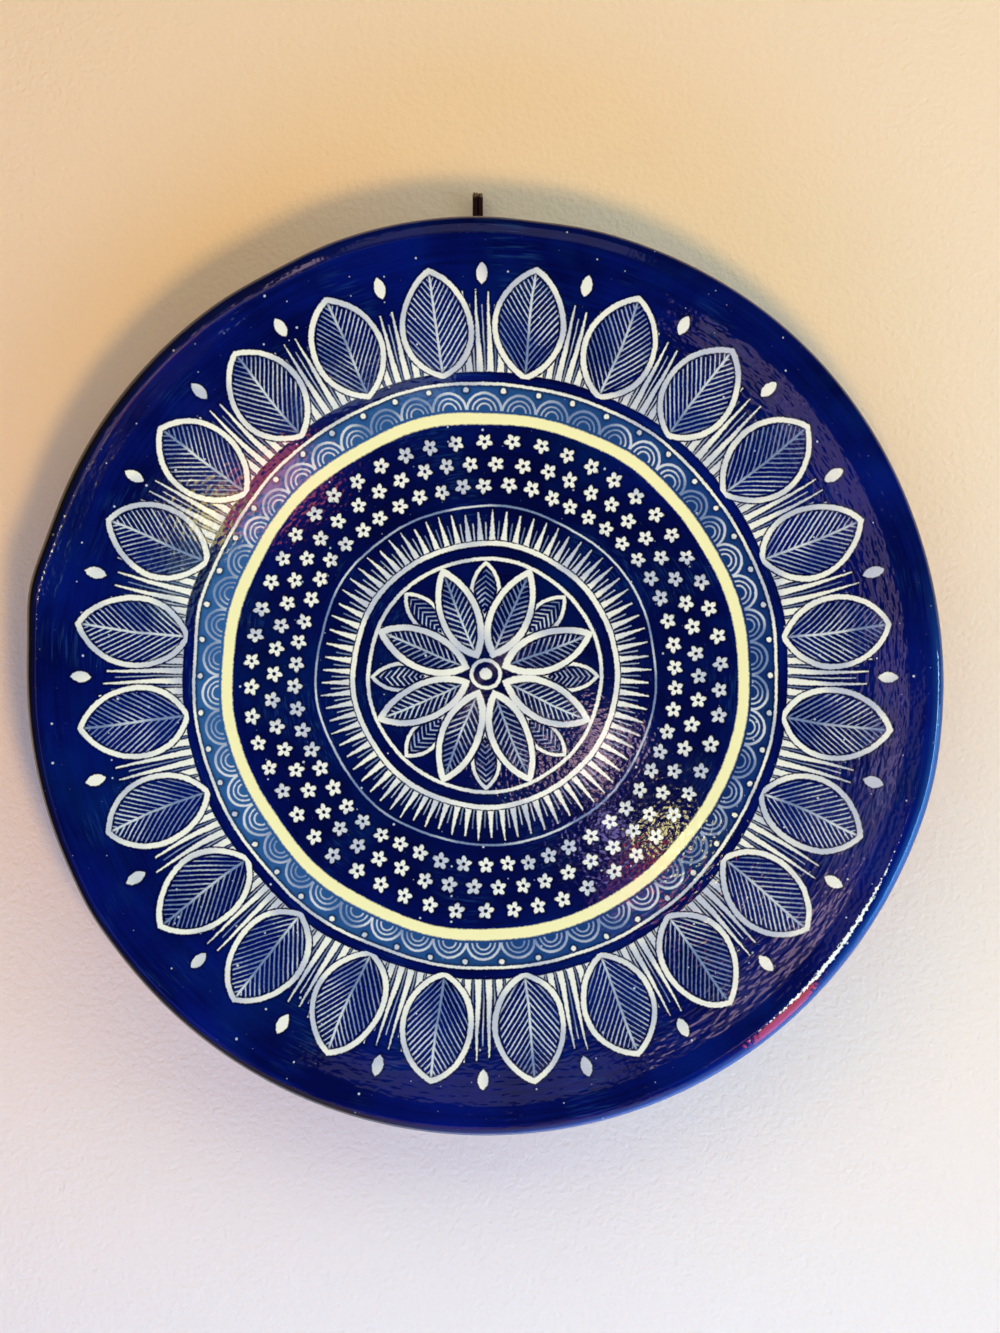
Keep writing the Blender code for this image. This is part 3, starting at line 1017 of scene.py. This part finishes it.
def oxidised_wire(tree):
    place = add("TexCoord", tree=tree).outputs["Object"]
    spots = add("TexNoise", {"Vector": place, "Scale": 1 / (SPOT_WIDTH * MM)})
    colour = mix(spots, linear("#200B04"), linear("#421C0C"))
    height = add("SeparateXYZ", (place,)).outputs["Z"]
    gripped = ramp(height, (tail_top - GRIPPED) * MM, (tail_top - GRIPPED / 2) * MM)
    # The pale spots where the pliers gripped are partly scraped metal and partly painted
    # highlights.
    scraped_and_glints = ramp(spots, 0.5, 0.6)
    scraped_and_glints = mix(scraped_and_glints, linear("#6E5A2A"), linear("#E8DCB4"))
    colour = mix(gripped, colour, scraped_and_glints)
    rough = ramp(spots, 0.0, 1.0, *SKIN_ROUGHNESS)
    return surface(tree, colour, rough, Metallic=SKIN_METALLIC)


def cut_iron(tree):
    return surface(tree, linear("#EADFC6"), CUT_ROUGHNESS, Metallic=1.0)


wire.data.materials.append(material("annealed_iron_wire", oxidised_wire))
wire.data.materials.append(material("freshly_cut_iron", cut_iron))
print("finishes of the wire:", [finish.name for finish in wire.data.materials])

# %% [markdown]
# ## Pieces take their places
#
# Each piece takes the place of its solid, which is hidden, and rides on the one body that there
# is.

# %% Pieces
for piece, node, slot in (
    (plate, "plate", "cobalt_slip_earthenware"),
    (wire, "hanging_wire", "iron_wire"),
):
    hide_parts(node)
    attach(piece, "root")
    print(piece.name, "stands for", node)

# %% [markdown]
# ## The room
#
# A plain pale wall carries the plate and sweeps down into a plain pale floor. It is one sheet,
# extruded from its section. Its back is see-through, so the plate can be looked at from behind,
# and it casts no shadow, so lights behind it can show the plate's back.

# %% Wall and floor
WALL_GAP, WALL_TOP = 0.2, 1600.0
FLOOR_DROP = 1100.0
COVE, STAGE_WIDTH, STAGE_DEPTH = 250.0, 5000.0, 900.0
DIMPLE_WIDTH, DIMPLE_DEPTH, PAINT_ROUGHNESS = 2.2, 0.6, 0.9


def make_wall():
    mesh = bmesh.new()
    back, floor = WALL_Y + WALL_GAP, CENTRE_Z - FLOOR_DROP
    outline = [(back, WALL_TOP), (back, floor + COVE)]
    outline += arc((back - COVE, floor + COVE), COVE, 0, -90, 12)[1:]
    outline.append((-STAGE_DEPTH, floor))
    points = [mesh.verts.new((-STAGE_WIDTH / 2, y, z)) for y, z in outline]
    edges = [mesh.edges.new(pair) for pair in zip(points, points[1:])]
    swept = bmesh.ops.extrude_edge_only(mesh, edges=edges)["geom"]
    swept = [part for part in swept if isinstance(part, bmesh.types.BMVert)]
    bmesh.ops.translate(mesh, verts=swept, vec=(STAGE_WIDTH, 0, 0))
    bmesh.ops.recalc_face_normals(mesh, faces=mesh.faces)
    mesh.normal_update()
    if max(face.normal.y for face in mesh.faces) > 0:
        bmesh.ops.reverse_faces(mesh, faces=mesh.faces)
    bmesh.ops.scale(mesh, verts=mesh.verts, vec=(MM, MM, MM))
    for face in mesh.faces:
        face.smooth = True
    made = put("wall_and_floor", mesh_data("wall_and_floor", mesh))
    made.visible_shadow = False
    return made


def wall_paint(tree):
    """Matt emulsion rolled on plaster: pale, with the soft dimples that a roller leaves."""
    place = add("TexCoord", tree=tree).outputs["Object"]
    dimples = add("TexNoise", {"Vector": place, "Scale": 1 / (DIMPLE_WIDTH * MM)})
    height = times(dimples, DIMPLE_DEPTH)
    matt = {"Specular IOR Level": 0.0}
    front = surface(tree, linear("#F3E4C8"), PAINT_ROUGHNESS, height, **matt)
    behind = add("NewGeometry", tree=tree).outputs["Backfacing"]
    return add("MixShader", (behind, front, add("BsdfTransparent", tree=tree)))


wall = make_wall()
wall.data.materials.append(material("rolled_emulsion_paint", wall_paint))
print("wall:", [round(v, 2) for v in wall.dimensions], "m")

# %% [markdown]
# ## Light
#
# Glazed ware is lit for what it mirrors. Each light is placed by the direction that it comes
# from: how far off the plate's axis, and which way round, counted from the right towards the top.
# Some only wash the wall and the ware: a warm window low on the right, which throws the plate's
# shadow up the wall, and fainter ones from the ceiling, the floor and the sides. Others are only
# there to be mirrored: dim lavender panels as a broken band in the rising side of the dish, small
# coloured lamps and strips as patches on its face, and a window, a red lamp and the sky on the
# outer lip. Two stand behind the wall, for whoever turns the plate round.

# %% Light
# name, its part, degrees off the axis, degrees round, distance m, width m, height m, watts, colour
LIGHTS = (
    ("window_light", "wash", 22, -51, 1.6, 0.27, 0.27, 12.2, "#FFC86C"),
    ("warm_ceiling", "wash", 38, 90, 0.9, 1.8, 0.8, 5.2, "#FFFADA"),
    ("cool_floor", "wash", 55, -90, 0.55, 1.0, 0.3, 4.1, "#22A4FF"),
    ("side_glow", "wash", 58, 0, 0.8, 0.5, 0.4, 2.7, "#BCDCFF"),
    ("lamp_left", "wash", 58, 190, 0.9, 0.5, 0.4, 1.1, "#FF5020"),
    ("panel_top", "mirror", 37.0, 94, 4.0, 1.9, 1.2, 4.6, "#D2CCFF"),
    ("panel_pink", "mirror", 41.5, 136, 4.0, 1.7, 0.5, 10.0, "#FFD8EC"),
    ("panel_left", "mirror", 41.5, 160, 4.0, 1.3, 0.7, 3.1, "#F9D7FF"),
    ("panel_middle", "mirror", 41.5, 181, 4.0, 1.3, 0.7, 3.1, "#F9D7FF"),
    ("panel_low_left", "mirror", 41.5, 208, 4.0, 1.3, 0.7, 2.8, "#F9D7FF"),
    ("panel_low", "mirror", 41.5, 230, 4.0, 0.8, 0.5, 1.3, "#F9D7FF"),
    ("panel_dim", "mirror", 34.0, 155, 4.0, 3.0, 0.5, 2.4, "#E4D0FF"),
    ("mauve_spot", "mirror", 8.8, 165, 2.4, 0.1, 0.2, 0.55, "#FFD0DC"),
    ("violet_spot", "mirror", 13.0, 144, 2.4, 0.1, 0.13, 0.34, "#BAA8FF"),
    ("plum_spot", "mirror", 17.2, 136.5, 2.4, 0.15, 0.1, 0.12, "#C07CC8"),
    ("lamp_glow", "mirror", 17.1, 151, 2.4, 0.06, 0.08, 0.38, "#FFF0A0"),
    ("ember_glow", "mirror", 18.0, 143, 2.4, 0.05, 0.05, 0.12, "#FF5038"),
    ("strip_blue", "mirror", 22.0, -80, 2.5, 0.47, 0.13, 0.4, "#C4D8FF"),
    ("strip_red", "mirror", 17.2, -55, 2.5, 0.22, 0.16, 0.7, "#FF7468"),
    ("strip_yellow", "mirror", 18.8, -39, 2.5, 0.19, 0.15, 0.8, "#FFE678"),
    ("strip_teal", "mirror", 18.5, -25, 2.5, 0.33, 0.14, 0.24, "#A4D8E8"),
    ("side_window", "mirror", 72, -14, 2.2, 1.2, 0.14, 11, "#B8E0FF"),
    ("red_lamp", "mirror", 66, -52, 1.2, 0.19, 0.9, 5.5, "#FF6438"),
    ("blue_sky", "mirror", 95, -35, 1.8, 2.2, 1.5, 70, "#5CB0FF"),
    ("behind_left", "both", 150, 140, 1.8, 1.2, 1.0, 14, "#FFFFFF"),
    ("behind_low", "both", 140, -50, 1.8, 1.2, 1.0, 8, "#FFFFFF"),
)
PLATE_MIDDLE = Vector((0, WALL_Y - FACE_MIDDLE, CENTRE_Z)) * MM


def make_light(name, part, off_axis, around, distance, width, height, watts, colour):
    """An area light that faces the plate, with its width along the ring round the axis."""
    data = bpy.data.lights.new(name, "AREA")
    data.shape, data.size, data.size_y = "RECTANGLE", width, height
    data.energy, data.color = watts, linear(colour)[:3]
    made = put(name, data)
    off, turn = math.radians(off_axis), math.radians(around)
    out = Vector((math.sin(off) * math.cos(turn), -math.cos(off), math.sin(off) * math.sin(turn)))
    across = Vector((-math.sin(turn), 0, math.cos(turn)))
    turned = Matrix((across, out.cross(across), out)).transposed().to_4x4()
    made.matrix_world = Matrix.Translation(PLATE_MIDDLE + out * distance) @ turned
    made.visible_camera = False
    made.visible_diffuse = part != "mirror"
    made.visible_glossy = part != "wash"
    return made


for light in LIGHTS:
    make_light(*light)
print("lights:", len(LIGHTS))

# %% [markdown]
# ## The camera
#
# It stands in front of the wall, a little to the right of the plate's axis and a little above
# it, as far off as a viewer would, and frames the plate nearly from edge to edge.

# %% Camera
VIEW_HEIGHT = 519.5  # what the frame takes in at the plate's rim, in millimetres
CAMERA_DISTANCE = 1500.0
CAMERA_RIGHT, CAMERA_UP = 3.0, 1.5  # degrees off the plate's axis
AIM = Vector((7.3, WALL_Y - FACE_MIDDLE - DISH_DEPTH, CENTRE_Z + 4.4))


def make_camera():
    data = bpy.data.cameras.new("camera")
    made = put("camera", data)
    data.sensor_width = 36
    data.lens = data.sensor_width * CAMERA_DISTANCE / VIEW_HEIGHT
    side, rise = math.radians(CAMERA_RIGHT), math.radians(CAMERA_UP)
    away = (math.sin(side) * math.cos(rise), -math.cos(side) * math.cos(rise), math.sin(rise))
    made.location = (AIM + Vector(away) * CAMERA_DISTANCE) * MM
    made.rotation_euler = (-Vector(away)).to_track_quat("-Z", "Y").to_euler()
    bpy.context.scene.camera = made
    return made


camera = make_camera()
print("camera lens", round(camera.data.lens, 1), "mm at", [round(v, 3) for v in camera.location])

# %% World and tone
world = bpy.data.worlds.new("room")
bpy.context.scene.world = world
world.use_nodes = True
world.node_tree.nodes.clear()
glow = add("Background", (linear("#C9C2D6"), 0.04), world.node_tree)
add("OutputWorld", (glow,))
# The standard view keeps deep blues as deep as the glaze makes them.
bpy.context.scene.view_settings.view_transform = "Standard"
